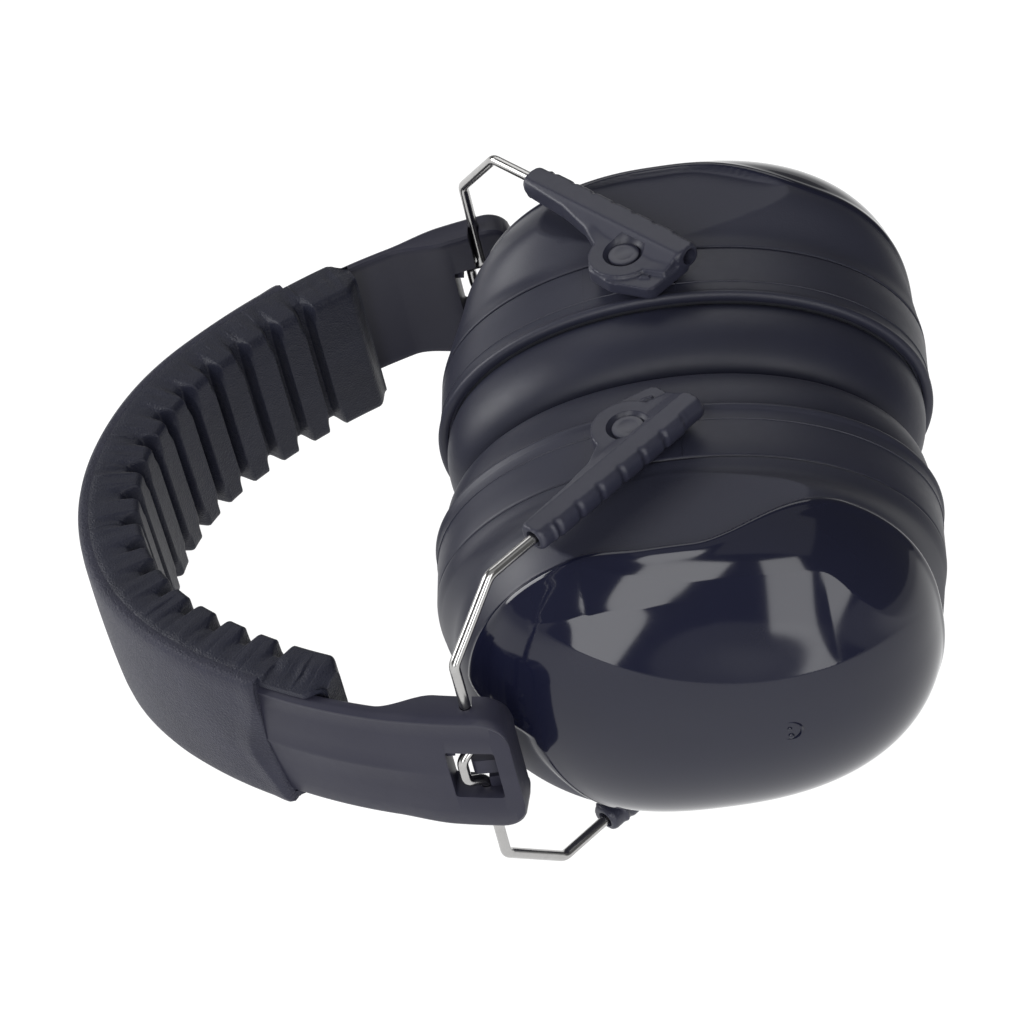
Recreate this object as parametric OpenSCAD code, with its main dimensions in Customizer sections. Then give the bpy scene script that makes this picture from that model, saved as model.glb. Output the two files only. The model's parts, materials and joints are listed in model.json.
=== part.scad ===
// Earmuff hearing protector, folded and lying on its side.
// Units are millimetres. Origin: centre of the footprint, Z up from the table.
// Inside the modules X runs from the crown to the cups, Y from cup to cup
// and Z across the band. lay() turns that frame down onto the table.

/* [Headband] */
// radius of the crown's outer face
crown_r = 62.4; // [55:0.1:75]
// radius of the straighter sides
side_r = 126.7; // [120:1:190]
// half angle of the crown arc
crown_half_a = 47; // [40:1:65]
// half width of the plastic bow
bow_half_w = 14.9; // [12:0.1:18]
// thickness of the plastic bow
bow_t = 3; // [2:0.1:5]
// X of the very end of the end block
block_end_x = 85.6; // [80:0.1:90]

/* [Padding] */
// half width of the padded part
pad_half_w = 17.1; // [15:0.1:22]
// thickness of the outer cover
cover_t = 1.2; // [0.8:0.1:2]
// height of the ribs from the outer cover's face
pad_crest = 13.2; // [9:0.1:15]
// floor of the grooves from the same face
pad_root = 9.8; // [6:0.1:12]
// number of grooves on each side of the crown
grooves_side = 8; // [4:1:10]
// distance between grooves
groove_pitch = 8.75; // [6:0.05:11]

/* [Wire forks] */
// diameter of the steel wire
wire_d = 2.2; // [1.8:0.1:3]
// half distance between the two wires of a fork
wire_z = 40.3; // [36:0.1:46]
// reach of the sloping part of the wire
wire_slope_s = 13.2; // [8:0.1:18]
// where the sloping part starts above the middle
wire_slope_z = 26.9; // [20:0.1:32]
// end of the wire along the fork
wire_end_s = 68.5; // [60:0.1:72]

/* [Cup] */
// half length of the cup
cup_a = 51.4; // [46:0.1:56]
// half width of the ring
cup_b = 35; // [30:0.1:40]
// half width of the dome at its widest
dome_b = 40; // [35:0.1:44]
// X of the cup's middle
cup_x = 121; // [115:0.1:128]
// Y of the ring's lip
lip_y = 16.3; // [12:0.1:20]
// Y of the seam between ring and shell
seam_y = 31.9; // [26:0.1:36]
// Y of the outer face of the dome
dome_y = 72; // [60:0.1:76]
// wall of the shell
shell_t = 2.4; // [1.5:0.1:4]

/* [Cushion] */
// half length of the ear opening
ear_a = 30.5; // [26:0.1:34]
// half width of the ear opening
ear_b = 17; // [14:0.1:22]
// thickness of the cushion skin
skin_t = 0.9; // [0.5:0.1:1.5]

/* [Hidden] */
$fn = 64;
eps = 0.01;
gap = 0.05;

// centres of the side arcs, tangent to the crown arc
crown_c = [58.3, 0];
join_a = 180 - crown_half_a;
side_c = crown_c + (crown_r - side_r) * [cos(join_a), sin(join_a)];
// ends of cover, pad and bow as polar angles about the side centre
cover_end_a = 121.1;
pad_end_a = 114.9;
block_start_a = 106.4;
bow_end_a = 94;

// hinge of the fork
hinge = [78.4, 72.4];
fork_a = -45;
wire_r = wire_d / 2;
fit = 0.05;

// pivot of the cup in the fork's own axes, and in the part's axes
pivot_s = 58.5;
pivot_w = -6.7;
pivot = hinge + [pivot_s * cos(fork_a) - pivot_w * sin(fork_a),
                 pivot_s * sin(fork_a) + pivot_w * cos(fork_a)];
pin_r = 2.4;
tube_start = 25.3;
tube_end = 70.9;
arm_in_z = 36.8;
boss_top_z = 36.5;

// the table touches the crown's edge and the wires' outer bends
wire_bend_x = hinge[0] + wire_slope_s * cos(fork_a);
crown_out_x = crown_c[0] - crown_r;
lay_run = wire_bend_x - crown_out_x;
lay_rise = wire_z - pad_half_w;
lay_tilt = atan(lay_rise / lay_run) + asin((wire_r + 0.03) / norm([lay_run, lay_rise]));
lay_z = pad_half_w * cos(lay_tilt) - crown_out_x * sin(lay_tilt);
lay_x = -79.75;

// lofted ovals
seg = 56;

function oval_pt(a, b, n, t) =
  [a * sign(cos(t)) * pow(abs(cos(t)), 2 / n),
   b * sign(sin(t)) * pow(abs(sin(t)), 2 / n)];
function oval(a, b, n = 2.05) =
  [for (k = [0:seg - 1]) oval_pt(a, b, n, 360 * (k + 0.5) / seg)];
function mix(p, q, t) = p + (q - p) * t;
function smooth(t) = let (c = min(1, max(0, t))) c * c * (3 - 2 * c);

// outline of the shell at depth y, grown or shrunk by d; the flats under the arms are cut level
dome_start = 39.5;
dome_n = 2.55;
// the dome is a little shorter than the ring, and its middle lies further from the crown
dome_a = 49.1;
dome_shift = 0.8;
flat_z = 35.2;
function dome_f(y) =
  y <= dome_start ? 1
  : pow(max(0, 1 - pow((y - dome_start) / (dome_y - dome_start), dome_n)), 1 / dome_n);
function flat_edge(x) = mix(60, 44, smooth((x - 4) / 28));
function shell_ring(y, d) = [
  for (k = [0:seg - 1])
    let (t = 360 * (k + 0.5) / seg,
         grow = smooth((y - 34) / 12),
         b = mix(cup_b, dome_b, grow),
         n = mix(2.05, 2.4, grow),
         f = dome_f(y),
         q = oval_pt(mix(cup_a, dome_a, grow) * f - d, b * f - d, n, t),
         cut = mix(flat_z - d, dome_b, smooth((y - flat_edge(q[0]) + 2) / 4)),
         z = min(abs(q[1]), cut) * sign(q[1]))
    [cup_x + dome_shift * grow + q[0], y, z]
];

// ------------------------------------------------------------ helpers
module lay() {
  translate([lay_x, 0, lay_z])
    rotate([0, -lay_tilt, 0])
      children();
}

module far_side() {
  lay() children();
}

module near_side() {
  lay() mirror([0, 1, 0]) children();
}

module fork_frame() {
  translate([hinge[0], hinge[1], 0])
    rotate([0, 0, fork_a])
      children();
}

// pie slice about c from angle a0 to a1
module pie(c, a0, a1) {
  reach = 400;
  steps = 4;
  polygon(concat([c], [for (k = [0:steps])
    let (a = mix(a0, a1, k / steps)) c + reach * [cos(a), sin(a)]]));
}

module arc_band(c, r, o0, o1, a0, a1) {
  intersection() {
    difference() {
      translate(c) circle(r = r - o0, $fn = 180);
      translate(c) circle(r = r - o1, $fn = 180);
    }
    pie(c, a0, a1);
  }
}

// strip that follows the headband between two depths below the outer face
module bow_strip(o0, o1, end_a) {
  arc_band(crown_c, crown_r, o0, o1, join_a, 360 - join_a);
  arc_band(side_c, side_r, o0, o1, end_a, join_a + eps);
  mirror([0, 1]) arc_band(side_c, side_r, o0, o1, end_a, join_a + eps);
}

// closed solid through a stack of equal rings, the first and last ones capped
module loft(rings) {
  m = len(rings);
  n = len(rings[0]);
  pts = [for (r = rings) for (p = r) p];
  side = [for (j = [0:m - 2]) for (k = [0:n - 1])
    [j * n + k, j * n + (k + 1) % n, (j + 1) * n + (k + 1) % n, (j + 1) * n + k]];
  bottom = [for (k = [0:n - 1]) n - 1 - k];
  top = [for (k = [0:n - 1]) (m - 1) * n + k];
  polyhedron(points = pts, faces = concat([bottom], side, [top]), convexity = 8);
}

// closed tube through a loop of rings
module loft_loop(rings) {
  m = len(rings);
  n = len(rings[0]);
  pts = [for (r = rings) for (p = r) p];
  side = [for (j = [0:m - 1]) for (k = [0:n - 1])
    [j * n + k, j * n + (k + 1) % n, ((j + 1) % m) * n + (k + 1) % n, ((j + 1) % m) * n + k]];
  polyhedron(points = pts, faces = side, convexity = 8);
}

// upright wall of an oval, from y0 to y1
module oval_block(a, b, y0, y1, n = 2.05) {
  translate([cup_x, y1, 0])
    rotate([90, 0, 0])
      linear_extrude(y1 - y0)
        polygon(oval(a, b, n));
}

module rod(p, q, r) {
  d = q - p;
  l = norm(d);
  translate(p)
    rotate([0, acos(d[2] / l), atan2(d[1], d[0])])
      cylinder(r = r, h = l, $fn = 24);
}

// ball that fills the corner between two rods
module elbow(p) {
  translate(p) sphere(r = wire_r + 0.03, $fn = 24);
}

// ------------------------------------------------------------ headband
win_x0 = 72.4;
win_x1 = 82.2;
win_z = 6.3;
block_in = 8;
block_half_w = 15.6;
block_corner = 6;
saddle_r = 1.9;

module block_outline() {
  translate([block_end_x - block_corner, block_half_w - block_corner]) circle(r = block_corner);
  translate([block_end_x - block_corner, block_corner - block_half_w]) circle(r = block_corner);
  translate([50, -block_half_w]) square([block_end_x - block_corner - 50, 2 * block_half_w]);
  translate([60, block_corner - block_half_w])
    square([block_end_x - 60, 2 * (block_half_w - block_corner)]);
}

module end_block() {
  difference() {
    intersection() {
      translate([0, 0, -block_half_w])
        linear_extrude(2 * block_half_w)
          arc_band(side_c, side_r, cover_t - 0.3, block_in, bow_end_a - 2, block_start_a);
      translate([0, 100, 0])
        rotate([90, 0, 0])
          linear_extrude(60)
            block_outline();
    }
    // window
    translate([win_x0, 60, -win_z]) cube([win_x1 - win_x0, 30, 2 * win_z]);
    // open channel for the hinge wire
    translate([hinge[0], hinge[1], -20]) cylinder(r = wire_r + fit, h = 40, $fn = 32);
    translate([hinge[0] - wire_r - fit, hinge[1] - 8, -20]) cube([2 * (wire_r + fit), 8, 40]);
  }
  // saddle that the wire's kink wraps round
  translate([hinge[0], hinge[1], -1.7]) cylinder(r = saddle_r, h = 3.4);
  translate([hinge[0], hinge[1] - saddle_r, -1.7]) cube([win_x1 - hinge[0] + 1, 2 * saddle_r, 3.4]);
}

module headband() {
  color([0.13, 0.14, 0.17]) lay() {
    translate([0, 0, -bow_half_w])
      linear_extrude(2 * bow_half_w)
        bow_strip(cover_t, cover_t + bow_t, block_start_a - 1);
    end_block();
    mirror([0, 1, 0]) end_block();
  }
}

module band_cover() {
  color([0.11, 0.12, 0.15]) lay() {
    translate([0, 0, -pad_half_w])
      linear_extrude(2 * pad_half_w)
        bow_strip(0, cover_t - gap, cover_end_a);
    for (s = [-1, 1])
      translate([0, 0, s > 0 ? bow_half_w + gap : -pad_half_w])
        linear_extrude(pad_half_w - bow_half_w - gap)
          bow_strip(cover_t - gap - eps, cover_t + bow_t, cover_end_a);
  }
}

module groove(at_c, at_r, a) {
  w = 1.35;
  translate(at_c)
    rotate(a) {
      translate([at_r - pad_root - w, 0]) circle(r = w, $fn = 24);
      translate([at_r - pad_root - w - 8, -w]) square([8, 2 * w]);
    }
}

module grooves() {
  root_r = crown_r - pad_root;
  root_side_r = side_r - pad_root;
  crown_len = root_r * crown_half_a * PI / 180;
  for (k = [0:grooves_side], m = [0, 1]) {
    l = k * groove_pitch;
    a1 = 180 - l / root_r * 180 / PI;
    a2 = join_a - (l - crown_len) / root_side_r * 180 / PI;
    if (k > 0 || m == 0)
      mirror([0, m])
        if (l <= crown_len) groove(crown_c, crown_r, a1);
        else groove(side_c, side_r, a2);
  }
}

foam_back = cover_t + bow_t + gap;
foam_front = pad_root - 1.1;
foam_half_w = pad_half_w - 1.6;

module band_pad() {
  color([0.12, 0.13, 0.16]) lay()
    difference() {
      translate([0, 0, -pad_half_w])
        linear_extrude(2 * pad_half_w)
          difference() {
            bow_strip(foam_back, pad_crest, pad_end_a);
            grooves();
          }
      translate([0, 0, -foam_half_w])
        linear_extrude(2 * foam_half_w)
          bow_strip(foam_back - 1, foam_front, pad_end_a + 1);
    }
}

module pad_foam() {
  color([0.3, 0.3, 0.32]) lay()
    translate([0, 0, gap - foam_half_w])
      linear_extrude(2 * (foam_half_w - gap))
        bow_strip(foam_back + gap, foam_front - gap, pad_end_a + 1.1);
}

// ------------------------------------------------------------ wire fork
kink_r = 3.9;
kink_dir = 190;

function flip(p) = [p[0], p[1], -p[2]];

module half_fork(m) {
  top = m * [0, 0, wire_slope_z];
  bend = [wire_slope_s, 0, m * wire_z];
  low = m * [0, 0, 5.1];
  kink = [kink_r * cos(kink_dir), kink_r * sin(kink_dir), m * 2.9];
  rod(low, top, wire_r);
  rod(top, bend, wire_r);
  rod(bend, [wire_end_s, 0, m * wire_z], wire_r);
  rod(low, kink, wire_r);
  elbow(low);
  elbow(kink);
  elbow(top);
  elbow(bend);
}

module wire_fork() {
  color([0.75, 0.75, 0.77])
    fork_frame() {
      half_fork(1);
      half_fork(-1);
      kink = [kink_r * cos(kink_dir), kink_r * sin(kink_dir), 2.9];
      rod(flip(kink), kink, wire_r);
    }
}

module wire_fork_far() {
  far_side() wire_fork();
}

module wire_fork_near() {
  near_side() wire_fork();
}

// ------------------------------------------------------------ arms
flange_w = 5.2;
flange_t = 3.2;
tube_h = 2.75;
plate_t = 4.2;
rib_n = 6;

module arm_outline() {
  // plate with a round end about the pivot
  translate([pivot_s, pivot_w]) circle(r = 8.2);
  translate([pivot_s - 8.2, pivot_w]) square([16.4, -pivot_w]);
  polygon([[46, 0], [48.5, -5], [50.7, -6.6], [52.2, -10.4], [pivot_s, -14.6],
           [tube_end, -11.6], [tube_end, 0]]);
}

module arm() {
  color([0.13, 0.14, 0.17])
    fork_frame()
      difference() {
        union() {
          // tube for the wire
          translate([tube_start, 0, wire_z])
            rotate([0, 90, 0])
              cylinder(r = tube_h, h = tube_end - tube_start);
          translate([tube_start, -flange_w, wire_z - tube_h + 0.2])
            cube([tube_end - tube_start, flange_w, flange_t]);
          // ribs round the tube
          for (k = [0:rib_n - 1])
            translate([tube_start + 6.6 + k * 5.2, 0, wire_z])
              rotate([0, 90, 0])
                cylinder(r = tube_h + 0.35, h = 4.4);
          translate([0, 0, arm_in_z])
            linear_extrude(plate_t)
              arm_outline();
        }
        // wire bore
        translate([tube_start - 1, 0, wire_z])
          rotate([0, 90, 0])
            cylinder(r = wire_r + fit, h = tube_end - tube_start + 2, $fn = 32);
        // flared mouth
        translate([tube_start - eps, 0, wire_z])
          rotate([0, 90, 0])
            cylinder(r1 = wire_r + 0.8, r2 = wire_r + fit, h = 2, $fn = 32);
        // pivot hole and its chamfer
        translate([pivot_s, pivot_w, arm_in_z - 1])
          cylinder(r = pin_r + fit, h = plate_t + 2);
        translate([pivot_s, pivot_w, arm_in_z + plate_t - 1.5])
          cylinder(r1 = pin_r + fit, r2 = pin_r + 1.8, h = 1.5 + eps);
      }
}

module arm_top_far() {
  far_side() arm();
}

module arm_bottom_far() {
  far_side() mirror([0, 0, 1]) arm();
}

module arm_top_near() {
  near_side() arm();
}

module arm_bottom_near() {
  near_side() mirror([0, 0, 1]) arm();
}

// ------------------------------------------------------------ cup
pin_bottom_z = 31;
pin_head_z = arm_in_z + plate_t - 1.2;

module pivot_pin() {
  translate([pivot[0], pivot[1], pin_bottom_z])
    cylinder(r = pin_r, h = pin_head_z - pin_bottom_z);
  translate([pivot[0], pivot[1], pin_head_z - eps])
    cylinder(r1 = pin_r, r2 = pin_r + 0.9, h = 0.8);
}

module pivot_pins() {
  color([0.16, 0.17, 0.2]) {
    pivot_pin();
    mirror([0, 0, 1]) pivot_pin();
  }
}

module pivot_pins_far() {
  far_side() pivot_pins();
}

module pivot_pins_near() {
  near_side() pivot_pins();
}

ring_t = 2.3;
spigot_d = 2.35;
spigot_t = 1.8;
spigot_y = 27;

module pin_boss() {
  translate([pivot[0], pivot[1], pin_bottom_z - 1])
    cylinder(r = 5.2, h = boss_top_z - pin_bottom_z + 1);
}

module mount_ring() {
  color([0.14, 0.15, 0.18])
    difference() {
      union() {
        difference() {
          union() {
            oval_block(cup_a, cup_b, lip_y, seam_y);
            // rounded lip and mould line
            oval_block(cup_a + 0.5, cup_b + 0.5, lip_y + 0.4, lip_y + 2);
            oval_block(cup_a + 0.15, cup_b + 0.15, lip_y + 4.4, lip_y + 4.9);
          }
          oval_block(cup_a - ring_t, cup_b - ring_t, lip_y - 1, seam_y + 1);
        }
        difference() {
          pin_boss();
          translate([pivot[0] - 8, seam_y - gap, 20]) cube([16, 10, 20]);
        }
        difference() {
          mirror([0, 0, 1]) pin_boss();
          translate([pivot[0] - 8, seam_y - gap, -40]) cube([16, 10, 20]);
        }
      }
      for (m = [0, 1])
        mirror([0, 0, m])
          translate([pivot[0], pivot[1], pin_bottom_z - eps])
            cylinder(r = pin_r + gap, h = 10);
    }
}

module mount_ring_far() {
  far_side() mount_ring();
}

module mount_ring_near() {
  near_side() mount_ring();
}

module cup_shell() {
  outer_y = [for (t = [0, 0.12, 0.24, 0.36, 0.48, 0.6, 0.71, 0.8, 0.88, 0.94, 0.98, 1])
    mix(seam_y + gap, dome_y - 0.4, t)];
  color([0.1, 0.11, 0.14])
    difference() {
      union() {
        loft([for (y = outer_y) shell_ring(y, 0)]);
        oval_block(cup_a - spigot_d, cup_b - spigot_d, spigot_y, seam_y + 1);
      }
      loft([for (t = [0, 0.2, 0.4, 0.6, 0.75, 0.88, 0.96])
        shell_ring(mix(seam_y + 0.9, dome_y - 1.6, t), shell_t)]);
      oval_block(cup_a - spigot_d - spigot_t, cup_b - spigot_d - spigot_t,
                 spigot_y - 1, seam_y + 1.5);
      // room for the pin bosses
      translate([pivot[0] - 6, spigot_y - 1, -40]) cube([12, seam_y - spigot_y + 1 + gap, 80]);
    }
}

module cup_shell_far() {
  far_side() cup_shell();
}

module cup_shell_near() {
  near_side() cup_shell();
}

plate_y = 17.3;
plate_th = 2;

module seal_plate() {
  color([0.2, 0.21, 0.24])
    difference() {
      oval_block(cup_a - ring_t - gap, cup_b - ring_t - gap, plate_y, plate_y + plate_th);
      oval_block(ear_a + 0.6, ear_b + 0.6, plate_y - 1, plate_y + plate_th + 1);
    }
}

module seal_plate_far() {
  far_side() seal_plate();
}

module seal_plate_near() {
  near_side() seal_plate();
}

module cup_foam() {
  color([0.35, 0.35, 0.37])
    loft([
      for (p = [[40, 24.5, 26], [41, 25.5, 27.5], [41, 25.5, 44], [38, 23, 50], [34, 20, 52]])
        [for (q = oval(p[0], p[1])) [cup_x + q[0], p[2], q[1]]]
    ]);
}

module cup_foam_far() {
  far_side() cup_foam();
}

module cup_foam_near() {
  near_side() cup_foam();
}

// ------------------------------------------------------------ cushion
cush_a = cup_a - 1.6;
cush_b = cup_b - 1.6;
face_y = 0.2;

// ring of the cushion: q runs from 0 at the outside to 1 at the ear opening
function cush_ring(q, y) =
  [for (p = oval(mix(cush_a, ear_a, q), mix(cush_b, ear_b, q))) [cup_x + p[0], y, p[1]]];

// the outer edge steps in where it passes inside the mount ring's lip
skin_out = [[0.068, plate_y - gap], [0.068, lip_y - gap], [0.01, 15.1], [0, 13], [0.01, 10.5],
            [0.06, 6.5], [0.15, 3.2], [0.28, 1.1], [0.44, face_y], [0.66, face_y], [0.82, 1.1],
            [0.94, 3.4], [0.99, 6.5], [1, 10.5], [1, plate_y - gap]];
skin_in = [[0.945, plate_y - gap], [0.945, 10.5], [0.93, 7], [0.885, 4.1], [0.8, 2.1],
           [0.66, face_y + skin_t], [0.45, face_y + skin_t], [0.31, 2], [0.2, 4], [0.115, 7],
           [0.065, 10.6], [0.055, 13], [0.065, 14.4], [0.12, 15.6], [0.12, plate_y - gap]];

module cushion_skin() {
  color([0.11, 0.12, 0.15])
    loft_loop([for (p = concat(skin_out, skin_in)) cush_ring(p[0], p[1])]);
}

module cushion_skin_far() {
  far_side() cushion_skin();
}

module cushion_skin_near() {
  near_side() cushion_skin();
}

module cushion_foam() {
  core = [[0.93, 16.9], [0.93, 10.6], [0.915, 7.2], [0.87, 4.4], [0.79, 2.4],
          [0.66, 1.3], [0.46, 1.3], [0.33, 2.3], [0.22, 4.3], [0.14, 7.2],
          [0.09, 10.8], [0.085, 13.4], [0.145, 15.6], [0.145, 16.9]];
  color([0.4, 0.4, 0.42])
    loft_loop([for (p = core) cush_ring(p[0], p[1])]);
}

module cushion_foam_far() {
  far_side() cushion_foam();
}

module cushion_foam_near() {
  near_side() cushion_foam();
}

headband();
band_cover();
band_pad();
pad_foam();
wire_fork_near();
arm_top_near();
arm_bottom_near();
pivot_pins_near();
mount_ring_near();
cup_shell_near();
seal_plate_near();
cup_foam_near();
cushion_skin_near();
cushion_foam_near();
wire_fork_far();
arm_top_far();
arm_bottom_far();
pivot_pins_far();
mount_ring_far();
cup_shell_far();
seal_plate_far();
cup_foam_far();
cushion_skin_far();
cushion_foam_far();
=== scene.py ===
"""Looks for the folded earmuff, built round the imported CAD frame.

Shapes are worked out in the muff's own frame, in millimetres: X from the crown to the cups,
Y from cup to cup (near side negative), Z across the band. lay() turns points down onto the
table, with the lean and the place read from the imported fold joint.
"""

import math

import bmesh
import bpy
import numpy as np
from mathutils import Matrix, Vector
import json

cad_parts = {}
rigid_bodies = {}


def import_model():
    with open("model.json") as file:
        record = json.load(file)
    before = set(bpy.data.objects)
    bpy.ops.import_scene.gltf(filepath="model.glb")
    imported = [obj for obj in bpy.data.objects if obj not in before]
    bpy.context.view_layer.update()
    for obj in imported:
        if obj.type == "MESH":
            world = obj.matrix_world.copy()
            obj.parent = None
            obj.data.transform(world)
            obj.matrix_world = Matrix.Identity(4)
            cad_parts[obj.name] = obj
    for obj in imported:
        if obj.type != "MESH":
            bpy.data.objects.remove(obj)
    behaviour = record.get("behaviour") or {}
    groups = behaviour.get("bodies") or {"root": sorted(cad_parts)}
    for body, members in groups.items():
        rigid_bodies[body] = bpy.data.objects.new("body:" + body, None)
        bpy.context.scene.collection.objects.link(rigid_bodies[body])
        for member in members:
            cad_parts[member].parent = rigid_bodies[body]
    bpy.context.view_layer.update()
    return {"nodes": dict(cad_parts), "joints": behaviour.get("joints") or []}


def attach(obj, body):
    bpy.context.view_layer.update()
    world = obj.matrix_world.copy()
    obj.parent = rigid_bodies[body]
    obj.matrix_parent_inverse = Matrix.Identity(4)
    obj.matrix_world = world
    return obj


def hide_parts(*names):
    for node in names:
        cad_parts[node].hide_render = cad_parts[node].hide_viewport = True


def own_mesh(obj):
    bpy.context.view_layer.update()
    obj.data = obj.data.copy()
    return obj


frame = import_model()

MM = 0.001
SIDES = {"near": -1, "far": 1}

# ---------------------------------------------------------------- driving sizes, mm
CROWN_C = np.array([58.3, 0.0])
CROWN_R, SIDE_R = 62.4, 126.7
CROWN_HALF = math.radians(47)
JOIN = math.pi - CROWN_HALF
SIDE_C = CROWN_C + (CROWN_R - SIDE_R) * np.array([math.cos(JOIN), math.sin(JOIN)])
REF_DEPTH = 6.0
CROWN_T = (CROWN_R - REF_DEPTH) * CROWN_HALF

BOW_HALF_W, BLOCK_HALF_W = 14.9, 15.6
BOW_OUT, BOW_IN, BLOCK_OUT, BLOCK_IN = 1.2, 4.2, 0.9, 8.0
BLOCK_END_X = 85.6
BLOCK_START_T = 94
# the window in each block: its two ends along x, and half its width
WINDOW = (72.4, 82.2, 6.3)
PAD_HALF_W, PAD_CREST, PAD_ROOT = 17.1, 13.2, 9.8
GROOVE_PITCH, GROOVES, CREST_R = 8.75, 8, 1.5
PAD_END_T, COVER_END_T = 84.5, 71.5
PAD_BACK, PAD_FOOT = 4.72, 1.9

HINGE = np.array([78.4, 72.4, 0.0])
FORK_DIR = math.radians(-45)
WIRE_R, WIRE_Z, SLOPE_S, SLOPE_Z, WIRE_END = 1.1, 40.3, 13.2, 26.9, 68.5
TUBE_START, TUBE_END, TUBE_R = 25.3, 70.9, 2.75
ARM_IN_Z, ARM_OUT_Z = 36.8, 40.5
PIVOT_S, PIVOT_W, PIN_R = 58.5, -6.7, 2.4
CLEAR = 0.12

CUP_X, CUP_A, CUP_B, CUP_N = 121.0, 51.4, 35.0, 2.05
LIP_Y, SEAM_Y, DOME_Y = 16.3, 31.9, 72.0
DOME_A, DOME_B, DOME_SHIFT, DOME_START, DOME_N = 49.1, 40.0, 0.8, 39.5, 2.55
FLAT_Z = 35.2
EAR_A, EAR_B = 30.5, 17.0
FACE_Y = 0.25

# ---------------------------------------------------------------- the muff's frame
fold = next(j for j in frame["joints"] if j["name"] == "fold_far")
TILT = math.atan2(-fold["axis"][0], fold["axis"][2])
TURN = np.array(
    [
        [math.cos(TILT), 0, -math.sin(TILT)],
        [0, 1, 0],
        [math.sin(TILT), 0, math.cos(TILT)],
    ]
)
ORIGIN = np.array(fold["pos_m"]) - TURN @ HINGE * MM


def lay(p):
    """Muff points in mm to the row frame in metres."""
    return np.asarray(p, float) @ TURN.T * MM + ORIGIN


def smooth(t):
    t = np.clip(t, 0, 1)
    return t * t * (3 - 2 * t)


def mix(a, b, t):
    return a + (b - a) * t


def fork_to_muff(p):
    """Points (s, w, z) in the far fork's own axes to the muff's frame."""
    p = np.asarray(p, float)
    c, s = math.cos(FORK_DIR), math.sin(FORK_DIR)
    x = HINGE[0] + p[..., 0] * c - p[..., 1] * s
    y = HINGE[1] + p[..., 0] * s + p[..., 1] * c
    return np.stack([x, y, p[..., 2]], -1)


def band(t, depth, z):
    """Point of the headband: t along it from the crown, depth below its outer face, z across."""
    t, depth, z = np.broadcast_arrays(t, depth, z)
    at = np.abs(t)
    sign = np.where(t < 0, -1.0, 1.0)
    a1 = math.pi - at / (CROWN_R - REF_DEPTH)
    a2 = JOIN - (at - CROWN_T) / (SIDE_R - REF_DEPTH)
    on_crown = at <= CROWN_T
    x = np.where(
        on_crown,
        CROWN_C[0] + (CROWN_R - depth) * np.cos(a1),
        SIDE_C[0] + (SIDE_R - depth) * np.cos(a2),
    )
    y = np.where(
        on_crown,
        CROWN_C[1] + (CROWN_R - depth) * np.sin(a1),
        SIDE_C[1] + (SIDE_R - depth) * np.sin(a2),
    )
    return np.stack([x, y * sign, z], -1)


def band_t(x):
    """Distance along the side of the band where its outer face reaches x."""
    return CROWN_T + (SIDE_R - REF_DEPTH) * (
        JOIN - math.acos((x - SIDE_C[0]) / (SIDE_R - 1))
    )


def turn_angles(count):
    """Evenly spaced angles once round."""
    return np.linspace(0, 2 * math.pi, count, endpoint=False)


def superoval(a, b, n, t):
    c, s = np.cos(t), np.sin(t)
    return (
        a * np.sign(c) * np.abs(c) ** (2 / n),
        b * np.sign(s) * np.abs(s) ** (2 / n),
    )


# ---------------------------------------------------------------- mesh helpers
def shade_smooth(me, sharp=None):
    """Smooth shading, but for edges over that angle in degrees."""
    me.polygons.foreach_set("use_smooth", [True] * len(me.polygons))
    if sharp:
        me.set_sharp_from_angle(angle=math.radians(sharp))


def new_object(name, verts, faces, side=1, angle=40):
    """Mesh from muff points; side -1 mirrors it to the near side."""
    verts = np.asarray(verts, float).reshape(-1, 3)
    if side < 0:
        verts = verts * [1, -1, 1]
        faces = [f[::-1] for f in faces]
    me = bpy.data.meshes.new(name)
    me.from_pydata(lay(verts).tolist(), [], [list(f) for f in faces])
    me.validate()
    bm = bmesh.new()
    bm.from_mesh(me)
    bmesh.ops.recalc_face_normals(bm, faces=bm.faces)
    bm.to_mesh(me)
    bm.free()
    shade_smooth(me, angle)
    ob = bpy.data.objects.new(name, me)
    bpy.context.scene.collection.objects.link(ob)
    return ob


def grid_faces(m, n, wrap_m=False, wrap_n=False, start=0):
    faces = []
    for i in range(m if wrap_m else m - 1):
        for j in range(n if wrap_n else n - 1):
            a, b = i * n + j, i * n + (j + 1) % n
            c, d = ((i + 1) % m) * n + (j + 1) % n, ((i + 1) % m) * n + j
            faces.append((start + a, start + b, start + c, start + d))
    return faces


def tube_of_rings(name, rings, side=1, caps=True, loop=False, angle=40):
    """Skin over equal closed rings. Caps close the ends with a fan about their middle."""
    rings = np.asarray(rings, float)
    m, n = rings.shape[:2]
    verts = rings.reshape(-1, 3)
    faces = grid_faces(m, n, wrap_m=loop, wrap_n=True)
    if caps and not loop:
        verts = np.vstack([verts, rings[0].mean(0), rings[-1].mean(0)])
        for j in range(n):
            k = (j + 1) % n
            faces.append((m * n, k, j))
            faces.append((m * n + 1, (m - 1) * n + j, (m - 1) * n + k))
    return new_object(name, verts, faces, side, angle)


def resample(path, step, closed=False):
    """Evenly spaced points along a polyline."""
    p = np.asarray(path, float)
    if closed:
        p = np.vstack([p, p[:1]])
    seg = np.linalg.norm(np.diff(p, axis=0), axis=1)
    at = np.concatenate([[0], np.cumsum(seg)])
    n = max(2, int(round(at[-1] / step)) + 1)
    want = np.linspace(0, at[-1], n)
    out = np.stack([np.interp(want, at, p[:, k]) for k in range(p.shape[1])], -1)
    return out[:-1] if closed else out


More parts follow.
